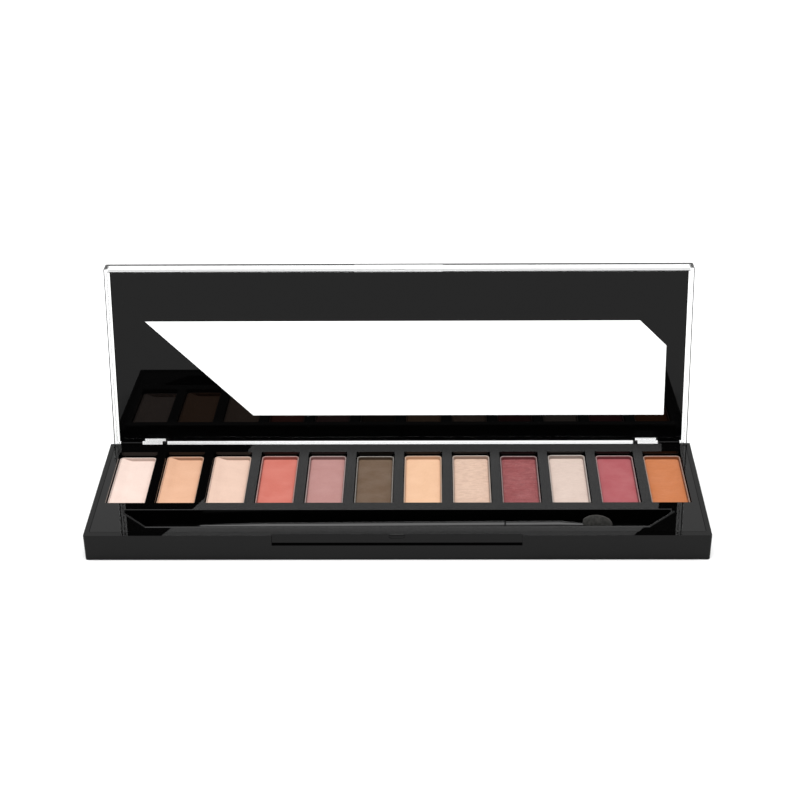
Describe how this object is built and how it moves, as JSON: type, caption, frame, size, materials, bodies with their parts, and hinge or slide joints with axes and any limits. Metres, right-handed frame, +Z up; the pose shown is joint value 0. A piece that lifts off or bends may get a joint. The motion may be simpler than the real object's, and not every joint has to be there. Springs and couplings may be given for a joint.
{
  "type": "eyeshadow palette",
  "caption": "Slim open eyeshadow palette: black tub with a row of pressed powder pans, a sponge applicator in a trough, and a hinged clear lid with a black film and a slanted window.",
  "frame": {"origin": "centre of the flat underside of the base", "axes": "+X along the length, +Y towards the hinge, +Z up"},
  "size_m": [0.19, 0.0732, 0.0681],
  "materials": {
    "black_plastic": "glossy moulded black plastic",
    "clear_plastic": "clear polished plastic",
    "black_film": "glossy black printed film",
    "pan_metal": "bright pressed tray metal",
    "steel_pin": "drawn steel wire",
    "adhesive": "translucent adhesive",
    "label_paper": "blank matt label",
    "applicator_plastic": "polished black plastic",
    "sponge_foam": "fine latex foam",
    "powder_01": "pressed powder, pale cream",
    "powder_02": "pressed powder, peach",
    "powder_03": "pressed powder, pale pink beige",
    "powder_04": "pressed powder, coral",
    "powder_05": "pressed powder, mauve pink",
    "powder_06": "pressed powder, olive brown",
    "powder_07": "pressed powder, apricot",
    "powder_08": "pressed powder, champagne shimmer",
    "powder_09": "pressed powder, burgundy rose shimmer",
    "powder_10": "pressed powder, ivory pink shimmer",
    "powder_11": "pressed powder, rose",
    "powder_12": "pressed powder, burnt orange"
  },
  "bodies": {
    "base": {"base_shell": "black_plastic", "base_label": "label_paper", "hinge_pin_left": "steel_pin", "hinge_pin_right": "steel_pin", "insert_tray": "black_plastic", "pan_01": "pan_metal", "pan_02": "pan_metal", "pan_03": "pan_metal", "pan_04": "pan_metal", "pan_05": "pan_metal", "pan_06": "pan_metal", "pan_07": "pan_metal", "pan_08": "pan_metal", "pan_09": "pan_metal", "pan_10": "pan_metal", "pan_11": "pan_metal", "pan_12": "pan_metal", "powder_01": "powder_01", "powder_02": "powder_02", "powder_03": "powder_03", "powder_04": "powder_04", "powder_05": "powder_05", "powder_06": "powder_06", "powder_07": "powder_07", "powder_08": "powder_08", "powder_09": "powder_09", "powder_10": "powder_10", "powder_11": "powder_11", "powder_12": "powder_12", "pan_glue_pads": "adhesive"},
    "lid": {"lid_shell": "clear_plastic", "lid_black_panel": "black_film"},
    "applicator": {"applicator_handle": "applicator_plastic", "applicator_stem": "applicator_plastic", "sponge_tip": "sponge_foam"}
  },
  "joints": [
    {"name": "lid_hinge", "type": "hinge", "parent": "base", "child": "lid", "pos_m": [0, 0.0305, 0.0065], "axis": [1, 0, 0], "range_deg": [0, 93]},
    {"name": "applicator_slide", "type": "slide", "parent": "base", "child": "applicator", "axis": [1, 0, 0], "range_m": [-0.017, 0.012]}
  ]
}
